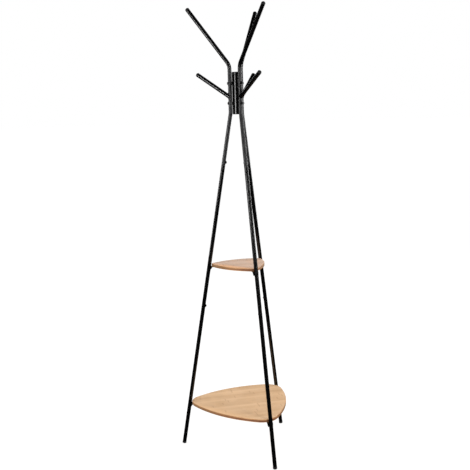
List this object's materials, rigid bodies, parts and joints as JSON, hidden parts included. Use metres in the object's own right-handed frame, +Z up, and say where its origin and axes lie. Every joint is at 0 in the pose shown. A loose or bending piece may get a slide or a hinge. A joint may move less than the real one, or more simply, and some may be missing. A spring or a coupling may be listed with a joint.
{
  "type": "hall tree with hooks",
  "caption": "Free-standing tripod coat stand of black steel tube, with long and short hooks round a central hub and two bow-sided triangular bamboo shelves.",
  "frame": {"origin": "on the floor, on the stand's axis, midway between the three feet", "axes": "+Z up along the axis of the hub; -X points to the left foot"},
  "size_m": [0.4458, 0.48, 1.7973],
  "materials": {
    "tube": "satin black powder coat",
    "bracket": "satin black powder coat",
    "end_cap": "moulded black plastic, lightly grained",
    "board": "laminated bamboo under clear satin lacquer",
    "black_screw": "black oxide, satin",
    "zinc": "bright zinc plate"
  },
  "bodies": {
    "root": {"foot_cap_left": "end_cap", "foot_cap_front": "end_cap", "foot_cap_rear": "end_cap", "lower_tube_left": "tube", "lower_tube_front": "tube", "lower_tube_rear": "tube", "middle_tube_left": "tube", "middle_tube_front": "tube", "middle_tube_rear": "tube", "upper_tube_left": "tube", "upper_tube_front": "tube", "upper_tube_rear": "tube", "hook_cap_left": "end_cap", "hook_cap_front": "end_cap", "hook_cap_rear": "end_cap", "short_hook_left": "tube", "short_hook_front": "tube", "short_hook_rear": "tube", "short_hook_cap_left": "end_cap", "short_hook_cap_front": "end_cap", "short_hook_cap_rear": "end_cap", "lower_bracket_left": "bracket", "lower_bracket_front": "bracket", "lower_bracket_rear": "bracket", "upper_bracket_left": "bracket", "upper_bracket_front": "bracket", "upper_bracket_rear": "bracket", "lower_shelf": "board", "upper_shelf": "board", "lower_shelf_screws": "zinc", "upper_shelf_screws": "zinc", "lower_joint_screws": "black_screw", "upper_joint_screws": "black_screw", "lower_joint_nuts": "zinc", "upper_joint_nuts": "zinc", "hub_tube": "tube", "hub_cap_top": "end_cap", "hub_cap_bottom": "end_cap", "hub_bolts": "black_screw", "hub_rivet_nuts": "zinc"}
  },
  "joints": []
}
